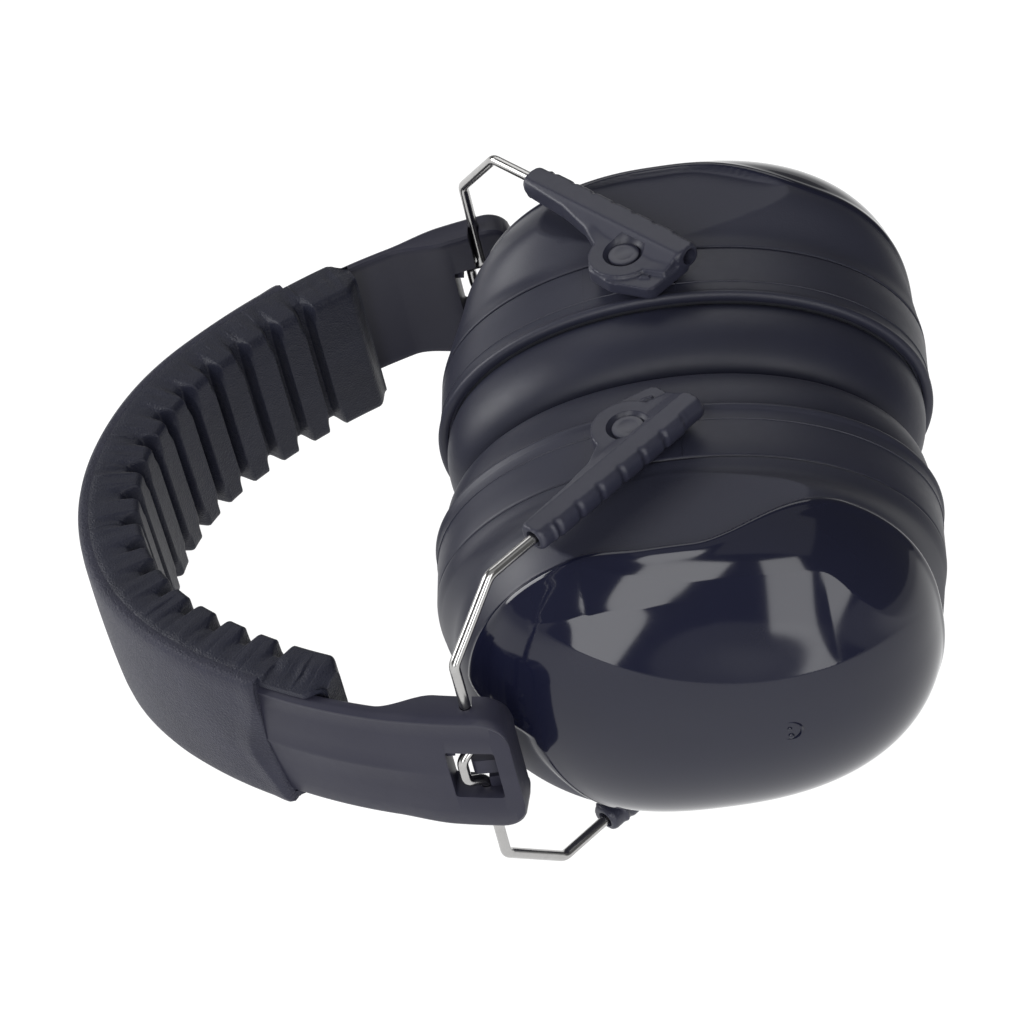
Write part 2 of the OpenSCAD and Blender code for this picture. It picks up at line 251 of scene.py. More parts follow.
def rounded(path, radius, steps=8, closed=False):
    """Polyline with each inner corner replaced by an arc-like curve of about that radius."""
    p = [np.asarray(q, float) for q in path]
    n = len(p)
    out = []
    for i in range(n):
        if not closed and i in (0, n - 1):
            out.append(p[i])
            continue
        a, b, c = p[i - 1], p[i], p[(i + 1) % n]
        u, v = a - b, c - b
        lu, lv = np.linalg.norm(u), np.linalg.norm(v)
        u, v = u / lu, v / lv
        half = math.acos(float(np.clip(u @ v, -1, 1))) / 2
        cut = min(radius / math.tan(half), 0.45 * lu, 0.45 * lv)
        s, e = b + u * cut, b + v * cut
        for k in range(steps + 1):
            f = k / steps
            out.append((1 - f) ** 2 * s + 2 * f * (1 - f) * b + f * f * e)
    return np.array(out)


def wire_rings(path, radius, count=20):
    """Round section swept along a smooth path, with rounded ends."""
    p = np.asarray(path, float)
    tangent = np.gradient(p, axis=0)
    tangent /= np.linalg.norm(tangent, axis=1)[:, None]
    ref = np.array([0.3, 0.8, 0.52])
    normal = ref - tangent[0] * (tangent[0] @ ref)
    a = turn_angles(count)
    rings = []
    for q, d in zip(p, tangent):
        normal = normal - d * (normal @ d)
        normal /= np.linalg.norm(normal)
        other = np.cross(d, normal)
        rings.append(
            q + radius * (np.cos(a)[:, None] * normal + np.sin(a)[:, None] * other)
        )
    rings = np.array(rings)
    ends = []
    for end, into in ((0, 1), (-1, -2)):
        centre = p[end]
        out = p[end] - p[into]
        out /= np.linalg.norm(out)
        ends.append(
            [
                centre + (rings[end] - centre) * s + out * h * radius
                for s, h in ((0.35, 0.42), (0.75, 0.32), (0.95, 0.15))
            ]
        )
    return np.concatenate([np.array(ends[0]), rings, np.array(ends[1][::-1])])


def join(name, objects):
    """Several objects as one."""
    for ob in bpy.context.view_layer.objects:
        ob.select_set(False)
    for ob in objects:
        ob.select_set(True)
    bpy.context.view_layer.objects.active = objects[0]
    bpy.ops.object.join()
    objects[0].name = name
    objects[0].data.name = name
    return objects[0]


def apply_modifiers(ob):
    bpy.context.view_layer.update()
    ev = ob.evaluated_get(bpy.context.evaluated_depsgraph_get())
    me = bpy.data.meshes.new_from_object(ev)
    old = ob.data
    ob.modifiers.clear()
    ob.data = me
    me.name = ob.name
    bpy.data.meshes.remove(old)


def fuse(ob, voxel_mm, soften):
    """One moulded skin from overlapping closed parts: a fine remesh, then a little smoothing."""
    m = ob.modifiers.new("fuse", "REMESH")
    m.mode = "VOXEL"
    m.voxel_size = voxel_mm * MM
    s = ob.modifiers.new("soften", "SMOOTH")
    s.factor = 0.5
    s.iterations = soften
    apply_modifiers(ob)
    shade_smooth(ob.data)


def cut(ob, tools):
    """Subtracts closed meshes from a piece and removes them."""
    for tool in tools:
        m = ob.modifiers.new("cut", "BOOLEAN")
        m.operation = "DIFFERENCE"
        m.solver = "EXACT"
        m.object = tool
    apply_modifiers(ob)
    for tool in tools:
        bpy.data.objects.remove(tool)


def prism(name, outline, z0, z1, side=1, to=None):
    """Upright block over a flat outline."""
    o = np.asarray(outline, float)
    to = to or (lambda p: p)
    low = to(np.column_stack([o, np.full(len(o), z0)]))
    high = to(np.column_stack([o, np.full(len(o), z1)]))
    n = len(o)
    verts = np.vstack([low, high])
    faces = [tuple(range(n))[::-1], tuple(range(n, 2 * n))]
    faces += [(k, (k + 1) % n, n + (k + 1) % n, n + k) for k in range(n)]
    return new_object(name, verts, faces, side, 30)


def disc(centre, radius, count=40):
    a = turn_angles(count)
    return np.column_stack([centre[0] + radius * np.cos(a), centre[1] + radius * np.sin(a)])


def lathe(name, profile, axis_at, side=1, flip=1, count=48, to=None):
    """Round part about an upright axis: profile of (radius, height)."""
    a = turn_angles(count)
    rings = []
    to = to or (lambda p: p)
    for r, h in profile:
        ring = np.column_stack(
            [axis_at[0] + r * np.cos(a), axis_at[1] + r * np.sin(a), np.full(count, flip * h)]
        )
        rings.append(to(ring))
    return tube_of_rings(name, rings, side, caps=True, angle=35)


# ---------------------------------------------------------------- materials
def noise_node(nt, coords, scale, detail, rough=0.5):
    n = nt.nodes.new("ShaderNodeTexNoise")
    n.inputs["Scale"].default_value = scale
    n.inputs["Detail"].default_value = detail
    n.inputs["Roughness"].default_value = rough
    nt.links.new(coords.outputs["Object"], n.inputs["Vector"])
    return n


def material(name, base, rough, bump=(), tint=0.0, metal=0.0, spec=0.5, sheen=0.0,
             patch=90.0, rough_var=0.06):
    """Procedural finish. bump is a list of (kind, scale per metre, height in mm, detail)."""
    m = bpy.data.materials.new(name)
    m.use_nodes = True
    nt = m.node_tree
    bsdf = nt.nodes["Principled BSDF"]
    coords = nt.nodes.new("ShaderNodeTexCoord")

    patches = noise_node(nt, coords, patch, 4.0, 0.55)
    ramp = nt.nodes.new("ShaderNodeValToRGB")
    dark = [c * (1 - tint) for c in base]
    light = [min(1, c * (1 + tint)) for c in base]
    ramp.color_ramp.elements[0].position = 0.3
    ramp.color_ramp.elements[0].color = (*dark, 1)
    ramp.color_ramp.elements[1].position = 0.7
    ramp.color_ramp.elements[1].color = (*light, 1)
    nt.links.new(patches.outputs["Fac"], ramp.inputs["Fac"])
    nt.links.new(ramp.outputs["Color"], bsdf.inputs["Base Color"])

    spread = nt.nodes.new("ShaderNodeMapRange")
    spread.inputs["To Min"].default_value = max(0.02, rough - rough_var)
    spread.inputs["To Max"].default_value = min(1, rough + rough_var)
    fine = noise_node(nt, coords, patch * 7, 5.0, 0.55)
    nt.links.new(fine.outputs["Fac"], spread.inputs["Value"])
    nt.links.new(spread.outputs["Result"], bsdf.inputs["Roughness"])

    bsdf.inputs["Metallic"].default_value = metal
    bsdf.inputs["Specular IOR Level"].default_value = spec
    bsdf.inputs["IOR"].default_value = 1.5
    bsdf.inputs["Sheen Weight"].default_value = sheen
    bsdf.inputs["Sheen Roughness"].default_value = 0.4

    normal = None
    for kind, scale, height, detail in bump:
        if kind == "noise":
            out = noise_node(nt, coords, scale, detail, 0.55).outputs["Fac"]
        else:
            tex = nt.nodes.new("ShaderNodeTexVoronoi")
            tex.feature = "F1" if kind == "cells" else "DISTANCE_TO_EDGE"
            tex.inputs["Scale"].default_value = scale
            nt.links.new(coords.outputs["Object"], tex.inputs["Vector"])
            out = tex.outputs["Distance"]
        if kind == "edges":
            shape = nt.nodes.new("ShaderNodeMapRange")
            shape.inputs["From Max"].default_value = detail
            nt.links.new(out, shape.inputs["Value"])
            out = shape.outputs["Result"]
        b = nt.nodes.new("ShaderNodeBump")
        b.inputs["Strength"].default_value = 1.0
        b.inputs["Distance"].default_value = height * MM
        nt.links.new(out, b.inputs["Height"])
        if normal:
            nt.links.new(normal, b.inputs["Normal"])
        normal = b.outputs["Normal"]
    if normal:
        nt.links.new(normal, bsdf.inputs["Normal"])
    return m


MAT = {
    "bow": material("moulded_nylon", (0.020, 0.020, 0.033), 0.44,
                    [("noise", 2600, 0.012, 3), ("noise", 350, 0.02, 2)], 0.05, spec=0.22),
    "arm": material("arm_nylon", (0.021, 0.022, 0.037), 0.42, [("noise", 2400, 0.014, 3)], 0.05, spec=0.4),
    "ring": material("ring_plastic", (0.019, 0.020, 0.034), 0.46, [("noise", 2200, 0.010, 3)], 0.05,
                     spec=0.35),
    "pin": material("pin_plastic", (0.026, 0.027, 0.043), 0.36, [("noise", 1800, 0.01, 2)], 0.04),
    "cover": material("leatherette", (0.021, 0.0215, 0.035), 0.54,
                      [("edges", 1200, 0.07, 0.25), ("noise", 420, 0.10, 3), ("noise", 3500, 0.015, 2)],
                      0.12, spec=0.22, sheen=0.04),
    "pad": material("pad_skin", (0.009, 0.010, 0.020), 0.50,
                    [("edges", 1500, 0.05, 0.3), ("noise", 300, 0.14, 4)], 0.12, spec=0.25, sheen=0.05),
    "cushion": material("cushion_vinyl", (0.013, 0.014, 0.027), 0.47,
                        [("noise", 1500, 0.012, 3), ("noise", 160, 0.07, 2)], 0.06, spec=0.34),
    "foam": material("open_cell_foam", (0.05, 0.05, 0.056), 0.92,
                     [("cells", 900, 0.5, 0), ("noise", 260, 0.5, 3)], 0.2, spec=0.2),
    "plate": material("plate_plastic", (0.04, 0.042, 0.052), 0.45, [("noise", 2000, 0.02, 3)], 0.05),
    "steel": material("stainless_wire", (0.42, 0.415, 0.41), 0.19, [("noise", 900, 0.006, 4)], 0.06,
                      metal=1.0, patch=300, rough_var=0.05),
}


def dress(ob, mat):
    ob.data.materials.clear()
    ob.data.materials.append(mat)


def place(ob, mat, body, nodes):
    dress(ob, mat)
    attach(ob, body)
    if nodes:
        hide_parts(*nodes)
    return ob


# ---------------------------------------------------------------- headband
BLOCK_T = band_t(BLOCK_END_X)


def bow_section(half, out, inn, grow):
    """Outline (depth, z): beads on the inner edges, a raised line between two outer hollows."""
    hollow = 0.38 * (1 - 0.4 * grow)
    line = 0.14 * (1 - grow)
    return np.array([
        (inn, half - 0.5), (inn - 0.5, half), (out + 1.5, half), (out + 0.9, half - 0.25),
        (out + hollow - 0.25, half - 0.9), (out + hollow - 0.2, half - 1.5), (out + hollow + 0.1, half - 2.1),
        (out + hollow * 0.6, half * 0.65), (out + 0.05, half * 0.3), (out + 0.03, 0.5), (out - line, -0.1),
        (out + 0.03, -0.7), (out + 0.05, -half * 0.36), (out + hollow * 0.6, -half * 0.7),
        (out + hollow + 0.1, 1.2 - half), (out + 0.9, 0.25 - half), (out + 1.5, -half),
        (inn - 0.5, -half), (inn, 0.5 - half), (inn, 1.6 - half), (inn - 0.35, 2.4 - half),
        (inn - 0.35, 0), (inn - 0.35, half - 2.4), (inn, half - 1.6),
    ])


def block_cutters(side):
    """A square window through the block, and an open channel for the hinge wire."""
    x0, x1, half = WINDOW
    window = rounded([(x0, -half), (x1, -half), (x1, half), (x0, half)], 0.7, 4, True)
    ends = [np.column_stack([window[:, 0], np.full(len(window), y), window[:, 1]]) for y in (60, 90)]
    r = WIRE_R + CLEAR
    channel = [(HINGE[0] + r * math.cos(q), HINGE[1] + r * math.sin(q)) for q in np.linspace(0, math.pi, 13)]
    channel += [(HINGE[0] - r, 60), (HINGE[0] + r, 60)]
    return [tube_of_rings("window", ends, side), prism("channel", channel, -20, 20, side)]


def block_details(side):
    """The saddle that the kink wraps round, and ledges in opposite corners of the window."""
    x, y = HINGE[0] - 1.7, HINGE[1]
    wall = WINDOW[1] + 0.4
    tongue = rounded([(x, y - 1.7), (wall, y - 2.2), (wall, y + 1.9), (x, y + 1.7)], 1.6, 6, True)
    low = [(79.4, 70.0), (wall, 69.6), (wall, 73.4), (79.4, 73.6)]
    high = [(72.0, 70.8), (74.0, 70.4), (74.0, 73.2), (72.0, 73.0)]
    return [
        prism("saddle", tongue, -1.8, 1.8, side),
        prism("ledge_low", low, -6.6, -3.6, side),
        prism("ledge_high", high, 3.2, 6.6, side),
    ]


def build_bow():
    """Plastic bow that thickens into a rounded block at each end."""
    block_rings = [s * np.linspace(BLOCK_START_T, BLOCK_T, 60) for s in (-1, 1)]
    t = np.unique(np.concatenate([np.linspace(-BLOCK_T, BLOCK_T, 240), *block_rings]))
    grow = smooth((np.abs(t) - BLOCK_START_T) / 12)
    corner = 5.6
    from_end = BLOCK_T - np.abs(t)
    inset = np.where(
        from_end < corner,
        corner - np.sqrt(np.clip(corner**2 - (corner - from_end) ** 2, 0, None)),
        0,
    )
    rings = []
    for ti, g, cut_in in zip(t, grow, inset):
        half = mix(BOW_HALF_W, BLOCK_HALF_W, g) - cut_in
        sect = bow_section(half, mix(BOW_OUT, BLOCK_OUT, g), mix(BOW_IN, BLOCK_IN, g), g)
        rings.append(band(ti, sect[:, 0], sect[:, 1]))
    ob = tube_of_rings("headband_bow", rings, angle=28)
    cut(ob, [tool for side in (-1, 1) for tool in block_cutters(side)])
    bev = ob.modifiers.new("edges", "BEVEL")
    bev.width = 0.35 * MM
    bev.segments = 2
    bev.limit_method = "ANGLE"
    bev.angle_limit = math.radians(50)
    bev.harden_normals = False
    apply_modifiers(ob)
    shade_smooth(ob.data, 32)
    return join("headband_bow", [ob] + [part for side in (-1, 1) for part in block_details(side)])


def build_cover():
    """Leatherette over the outside, turned over both edges, with a concave cut at each end."""
    zs = PAD_HALF_W
    face = [(-0.45 + 0.3 * (z / 14) ** 2, z) for z in np.linspace(zs - 3.2, 3.2 - zs, 25)]
    inside = [(1.05, z) for z in np.linspace(3.2 - zs, zs - 3.2, 25)]
    sect = np.array([
        (4.2, zs - 0.35), (3.2, zs - 0.05), (2.2, zs + 0.15), (1.2, zs + 0.15), (0.45, zs - 0.2),
        (0.05, zs - 1.2), *face, (0.05, 1.2 - zs), (0.45, 0.2 - zs), (1.2, -zs - 0.15), (2.2, -zs - 0.15),
        (3.2, 0.05 - zs), (4.2, 0.35 - zs), (4.2, 1.25 - zs), (3.2, 1.1 - zs), (1.5, 1.2 - zs), *inside,
        (1.5, zs - 1.2), (3.2, zs - 1.1), (4.2, zs - 1.25),
    ])
    depth, z = sect.T
    outer = depth < 1.0
    # how far the end is cut back: a round dip, and a slant from the lower edge to the upper one
    dip = 4.8 * np.exp(-(((z + 2.5) / 9.5) ** 2)) + 0.035 * (z + zs) * (z > -zs)
    rings = []
    for ui in np.linspace(-1, 1, 250):
        t = ui * (COVER_END_T - dip)
        puff = 0.16 * np.sin(t * 0.21 + 0.7) * np.exp(-((z / 16) ** 4))
        thin = np.where(outer, 0.5 * smooth((abs(ui) - 0.99) / 0.01), 0)
        flare = np.where(outer, 0.25 * smooth((abs(ui) - 0.93) / 0.05), 0)
        rings.append(band(t, depth - puff * outer - flare + thin, z))
    return tube_of_rings("band_cover_leatherette", rings, angle=50)


def groove_depth(t, half, soft):
    """1 in the middle of a groove of that half width, 0 on a crest."""
    k = np.clip(np.round(t / GROOVE_PITCH), -GROOVES, GROOVES)
    d = np.abs(t - k * GROOVE_PITCH)
    return 1 - smooth((d - half) / soft)


def build_pad():
    """Ribbed inner pad: pressed grooves, rounded crests, puckers running up the side walls."""
    crest_z, top_z, back_z = 17.4, 15.2, 15.3
    # side wall, top and underside as (depth, z, how far a groove pulls the point in)
    wall = [(PAD_FOOT, 16.6, 0.0), (2.6, 17.25, 0.1), (4.4, 17.45, 0.3), (6.4, 17.5, 0.55), (7.8, 17.45, 0.8)]
    wall += [
        (PAD_CREST - CREST_R + CREST_R * math.sin(a), crest_z - CREST_R + CREST_R * math.cos(a), 1.0)
        for a in np.radians([0, 20, 40, 60, 80])
    ]
    other_wall = [(depth, -z, pull) for depth, z, pull in wall[::-1]]
    top = [(PAD_CREST, z, 1.0) for z in np.linspace(top_z, -top_z, 26)]
    back = [(PAD_BACK, z, 0) for z in (-back_z, -8, 0, 8, back_z)]
    inner = [(PAD_FOOT, -15.35, 0), *back, (PAD_FOOT, 15.35, 0)]
    depth0, z0, face = np.array(wall + top + other_wall + inner).T
    outward = np.sign(z0)
    edge = smooth((np.abs(z0) - 11.5) / 5)
    over = np.clip((depth0 - PAD_BACK) / (PAD_CREST - PAD_BACK), 0, 1)
    side_wall = (np.abs(z0) > 15.8) * (depth0 > 2)
    # one random phase and swing for each 3 mm along the band
    phase, swing = np.random.default_rng(7).uniform(-1, 1, (2, 64))
    rings = []
    for ti in np.linspace(-PAD_END_T, PAD_END_T, 1100):
        g = mix(groove_depth(ti, 0.6, 1.0), groove_depth(ti, 0.75, 1.75), edge)
        end = smooth(1 - (PAD_END_T - abs(ti)) / 4.2)
        depth = depth0 - (PAD_CREST - PAD_ROOT) * g * smooth((over - 0.35) / 0.6)
        depth = depth - end**2 * over * 3.2
        pull = 0.75 * g * np.clip(face, 0, 1) ** 1.5 * side_wall
        i = int((ti + 90) / 3)
        wave = 0.22 * math.sin(ti * 1.7 + 2 * phase[i])
        pucker = wave * side_wall * smooth((depth0 - 3) / 3) * (depth0 < 8.5)
        z = z0 - outward * (pull + pucker * swing[i] + 0.9 * end**2 * side_wall)
        past_cover = smooth((abs(ti) - COVER_END_T + 0.4) / 0.5)
        z = z - outward * 0.5 * past_cover * side_wall * (depth0 < 7.6)
        # the foot rises to the pad's back: at its end, and on the lower edge where the cover ends
        foot = mix(PAD_FOOT, PAD_BACK, smooth((abs(ti) - PAD_END_T + 4) / 3.4))
        low_foot = mix(PAD_FOOT, PAD_BACK, smooth((abs(ti) - COVER_END_T + 1) / 3))
        foot = np.where(z0 < 0, low_foot, foot)
        depth = np.where(depth < PAD_BACK, np.maximum(depth, foot), depth)
        rings.append(band(ti, depth, z))
    return tube_of_rings("band_pad_ribbed", rings, angle=60)


place(build_bow(), MAT["bow"], "band", ["headband"])
place(build_cover(), MAT["cover"], "band", ["band_cover"])
pad = place(build_pad(), MAT["pad"], "band", ["band_pad", "pad_foam"])


# ---------------------------------------------------------------- wire forks and arms
def build_wire(name, side):
    """Stainless wire: straight end, slope, hinge leg, kink round the saddle, and back."""
    kink = math.radians(190)
    k = 3.9 * np.array([math.cos(kink), math.sin(kink)])
    half = [(WIRE_END, 0, WIRE_Z), (SLOPE_S, 0, WIRE_Z), (0, 0, SLOPE_Z), (0, 0, 5.1), (k[0], k[1], 2.9)]
    path = half + [(s, w, -z) for s, w, z in half[::-1]]
    path = resample(rounded(path, 2.6, 10), 0.45)
    rings = wire_rings(fork_to_muff(path), WIRE_R)
    return tube_of_rings(f"wire_fork_bent_{name}", rings, side, angle=0)


def rib_swell(s):
    """Height of the tube's ribs at s, 0 in the gaps between them and past them."""
    pitch = 5.9
    along = (s - TUBE_START - 4.6) / pitch
    if not -0.2 < along < 6.1:
        return 0.0
    k = math.floor(along)
    gap = min(along - k, k + 1 - along) * pitch
    return 0.42 * smooth((gap - 0.35) / 0.4)


def arm_tube_and_blade(side, up):
    """The ribbed tube round the wire, and the flange that widens towards the plate."""
    count = 40
    a = turn_angles(count)
    outboard = smooth(np.cos(a) * 1.7 - 0.15)
    low, top, near = WIRE_Z - 2.4, WIRE_Z + 2.1, 2.6
    rings, blade = [], []
    for si in np.arange(TUBE_START, TUBE_END + 0.01, 0.3):
        swell = rib_swell(si) * outboard
        ends = 0.35 * (smooth(1 - (si - TUBE_START) / 0.8) + smooth(1 - (TUBE_END - si) / 0.8))
        w, z = superoval(TUBE_R + 0.35 + swell - ends, TUBE_R + swell * 0.4 - ends, 2.5, a)
        ring = np.column_stack([np.full(count, si), w - 0.3, up * (WIRE_Z + np.minimum(z, 2.4))])
        rings.append(fork_to_muff(ring))
        wide = np.interp(si, [TUBE_START, 38, 46, 52, 66, TUBE_END], [3.0, 3.9, 5.6, 8.4, 8.4, 6.6])
        middle = mix(near, wide, 0.5)
        drop = [top - 0.55 * np.clip(q - near, 0, 3.4) for q in (middle, wide)]
        sect = [(0.5, low), (0.5, top), (-near, top), (-middle, drop[0]), (-wide, drop[1]), (-wide, low)]
        if TUBE_START + 0.5 < si < TUBE_END - 0.4:
            blade.append(fork_to_muff([(si, q, up * h) for q, h in sect]))
    return [tube_of_rings("tube", rings, side), tube_of_rings("flange", blade, side)]


def arm_plate(side, up):
    """The plate under the pivot, its round boss and a small raised tick."""
    plate = rounded(
        [(47, 0.5), (48.6, -5.2), (50.7, -6.6), (52.0, -10.6), (55.4, -14.2), (61.5, -14.6),
         (TUBE_END - 0.2, -11.4), (TUBE_END - 0.2, 0.5)], 2.2, 6, True)
    boss = disc((PIVOT_S, PIVOT_W), 7.4)
    tick = rounded([(66.3, -10.2), (67.9, -9.0), (67.5, -8.5), (65.9, -9.7)], 0.2, 3, True)
    return [
        prism("plate", plate, up * ARM_IN_Z, up * (ARM_OUT_Z - 0.9), side, fork_to_muff),
        prism("boss", boss, up * ARM_IN_Z, up * ARM_OUT_Z, side, fork_to_muff),
        prism("tick", tick, up * (ARM_OUT_Z - 1.3), up * (ARM_OUT_Z - 0.35), side, fork_to_muff),
    ]


def arm_cutters(side, up):
    """The bore for the wire, wider at both ends, and the chamfered hole for the pivot pin."""
    count = 32
    a = turn_angles(count)
    stations = (
        (TUBE_START - 1.2, WIRE_R + 1.1), (TUBE_START + 1.5, WIRE_R + CLEAR),
        (TUBE_END - 2.5, WIRE_R + CLEAR), (TUBE_END - 2.4, 1.75), (TUBE_END + 1, 1.75),
    )
    bore = [
        fork_to_muff(np.column_stack([np.full(count, s), r * np.cos(a), up * (WIRE_Z + r * np.sin(a))]))
        for s, r in stations
    ]
    hole = [
        (PIN_R + CLEAR, ARM_IN_Z - 2), (PIN_R + CLEAR, ARM_OUT_Z - 1.5), (PIN_R + 1.9, ARM_OUT_Z - 0.1),
        (PIN_R + 2.3, ARM_OUT_Z + 1.5),
    ]
    return [
        tube_of_rings("bore", bore, side),
        lathe("hole", hole, (PIVOT_S, PIVOT_W), side, up, to=fork_to_muff),
    ]


def build_arm(name, side, up):
    """Moulded arm: ribbed tube, flange and plate fused into one skin, then bored and drilled."""
    ob = join(f"arm_{name}", arm_tube_and_blade(side, up) + arm_plate(side, up))
    fuse(ob, 0.28, 5)
    cut(ob, arm_cutters(side, up))
    shade_smooth(ob.data, 38)
    return ob


PIVOT = fork_to_muff([PIVOT_S, PIVOT_W, 0])

for name, side in SIDES.items():
    wire = build_wire(name, side)
    place(wire, MAT["steel"], f"fork_{name}", [f"wire_fork_{name}"])
    for which, up in (("top", 1), ("bottom", -1)):
        arm = build_arm(f"{which}_{name}_moulded", side, up)
        place(arm, MAT["arm"], f"arms_{name}", [f"arm_{which}_{name}"])


# ---------------------------------------------------------------- cups
def cup_ring(d, y, count=288, a=CUP_A, b=CUP_B):
    """Oval of half axes a and b, grown by d, at depth y."""
    t = turn_angles(count) + math.pi / count
    x, z = superoval(a + d, b + d, CUP_N, t)
    return np.column_stack([CUP_X + x, np.full(count, y), z])


def build_ring(name, side):
    """Ring between cushion and dome: rolled lip, mould line, witness ribs and bosses for the pins."""
    profile = [
        (-1.7, 17.0), (-1.5, 16.45), (-0.9, 16.2), (-0.2, 16.25), (0.35, 16.55), (0.55, 17.05), (0.45, 17.6),
        (0.15, 18.0), (0.0, 18.4), (0.0, 20.7), (0.16, 20.78), (0.18, 20.95), (0.0, 21.05), (0.0, 26.0),
        (0.0, 30.9), (-0.12, 31.35), (-0.55, 31.6), (-0.75, 31.62), (-2.2, 31.65), (-2.3, 31.4),
        (-2.3, 24.0), (-2.3, 17.2), (-2.1, 17.0),
    ]
    rings = [cup_ring(d, y) for d, y in profile]
    parts = [tube_of_rings("ring", rings, side, caps=False, loop=True, angle=45)]
    boss = [(5.6, 31.0), (5.6, 34.6), (5.3, 35.6), (4.9, 36.45), (0.1, 36.5)]
    for up in (1, -1):
        parts.append(lathe("boss", boss, PIVOT[:2], side, up))
        for dx in (-9.6, 9.8):
            rib = []
            for y in np.linspace(LIP_Y + 1.8, SEAM_Y - 0.7, 12):
                x = PIVOT[0] + dx
                top = CUP_B * math.sqrt(max(0, 1 - ((x - CUP_X) / CUP_A) ** 2))
                rib.append([(x - 0.28, y, up * (top - 0.5)), (x - 0.12, y, up * (top + 0.14)),
                            (x + 0.12, y, up * (top + 0.14)), (x + 0.28, y, up * (top - 0.5))])
            parts.append(tube_of_rings("witness", rib, side))
    return join(f"mount_ring_{name}_lipped", parts)


def border_y(x, z):
    """Depth where the matte skirt ends, round the cup (x, z from its middle)."""
    base = mix(57.2, 46.4, smooth((x - 5) / 30))
    upper = base - 1.4 * smooth((-x - 4) / 14)
    lower = base + 9.0 * smooth((-x - 10) / 22)
    return mix(lower, upper, smooth((z + 2) / 10))


def facet_depth(x, y, z):
    """A shallow hollow between two curves over the upper shoulder, so both read as soft creases."""
    u = np.degrees(np.arctan2(y - 40, z))
    top = 72.5 - 0.0133 * (x - 20) ** 2
    low = np.where(x < 12, 36.5 - 0.012 * (x - 12) ** 2, 36.5) + 24 * smooth((x - 28) / 16)
    low = np.maximum(low, 28 + 1.28 * (-18 - x))
    half = np.maximum((top - low) / 2, 1e-3)
    across = np.clip((u - (top + low) / 2) / half, -1, 1)
    hollow = 0.95 * np.clip(half / 15.5, 0, 1.1) ** 2 * (1 - across**2) * (top > low)
    line = 0.20 * np.exp(-np.abs(u - 41.5) / 2.2)
    line = line * smooth((6 - x) / 14) * (top > low) * smooth((x + 30) / 6)
    return hollow - line


def gate_mark(side):
    """The moulding's gate on the outer face: a faint ring with two dots."""
    gx, gz, gy = CUP_X + 17.8, -4.1, 71.0
    section = ((-0.3, -0.1), (-0.12, 0.17), (0.12, 0.15), (0.3, -0.15))
    ring = [
        [(gx + (2.35 + w) * math.cos(a), gy + h, gz + (2.35 + w) * math.sin(a)) for w, h in section]
        for a in turn_angles(40)
    ]
    marks = [tube_of_rings("gate", ring, side, caps=False, loop=True)]
    for dz, r in ((0.7, 0.5), (-1.3, 0.62)):
        dot = [
            [(gx + r * k * math.cos(a), gy + h, gz + dz + r * k * math.sin(a)) for a in turn_angles(16)]
            for k, h in ((1.2, -0.2), (1.0, 0.2), (0.6, 0.42), (0.15, 0.48))
        ]
        marks.append(tube_of_rings("dot", dot, side))
    return marks


def build_shell(name, side):
    """Dome: matte recessed skirt, raised border, and a long lens-shaped facet on the upper half."""
    count = 440
    t = turn_angles(count) + math.pi / count
    # (depth, share of the full oval): up the skirt, then over the dome
    steps = [(y, 1.0) for y in (SEAM_Y - 0.05, SEAM_Y + 0.05, *np.linspace(SEAM_Y + 0.4, DOME_START, 16))]
    for phi in np.radians(np.linspace(0.8, 89.5, 190)):
        y = DOME_START + (DOME_Y - DOME_START) * math.sin(phi) ** (2 / DOME_N)
        steps.append((y, math.cos(phi) ** (2 / DOME_N)))
    rings = []
    for y, f in steps:
        grow = smooth((y - 34) / 12)
        # rounder corners towards the crown than at the cup's other end
        power = mix(CUP_N, np.where(np.cos(t) > 0, 2.4, 2.4 - 0.3 * np.abs(np.cos(t))), grow)
        x, z = superoval(mix(CUP_A, DOME_A, grow) * f, mix(CUP_B, DOME_B, grow) * f, power, t)
        rings.append(np.column_stack([x + DOME_SHIFT * grow, np.full(count, y), z]))
    p = np.array(rings)
    x, y, z = p[..., 0], p[..., 1], p[..., 2]
    edge = border_y(x, z)
    inside = smooth((edge - y + 0.7) / 1.4)
    near_seam = smooth((y - SEAM_Y) / 5)
    limit = mix(DOME_B + 2, FLAT_Z, inside)
    zz = np.sign(z) * np.minimum(np.abs(z), limit)
    sink = 0.55 * inside * near_seam
    lip = 0.22 * np.exp(-(((y - edge - 1.1) / 0.9) ** 2))
    rad = np.hypot(x, zz * DOME_A / DOME_B) + 1e-6
    k = (lip - sink) / rad
    x2, z2 = x * (1 + k), zz * (1 + k)

    n = np.stack([x / DOME_A**2, np.maximum(y - DOME_START, 0) / 34**2, z / DOME_B**2], -1)
    n /= np.linalg.norm(n, axis=-1)[..., None] + 1e-9
    p = np.stack([x2, y, z2], -1) - n * facet_depth(x, y, z)[..., None]
    p[0] *= [0.992, 1, 0.992]
    p[..., 1] = np.minimum(p[..., 1], DOME_Y)
    p[..., 0] += CUP_X
    shell = tube_of_rings("shell", p, side, caps=True, angle=0)
    attr = shell.data.attributes.new("matte", "FLOAT", "POINT")
    # the skirt is made partly less matte, so glossier and darker in colour, over its upper side towards the
    # crown
    less_matte = 0.3 * smooth((-x - 16) / 14) * smooth((z + 6) / 10)
    matte = smooth((edge - y + 0.2) / 0.9) * (1 - less_matte)
    # the last two points are the middles of the caps
    attr.data.foreach_set("value", np.concatenate([matte.ravel(), [0.0, 0.0]]).astype(np.float32))
    return join(f"cup_shell_{name}_domed", [shell] + gate_mark(side))


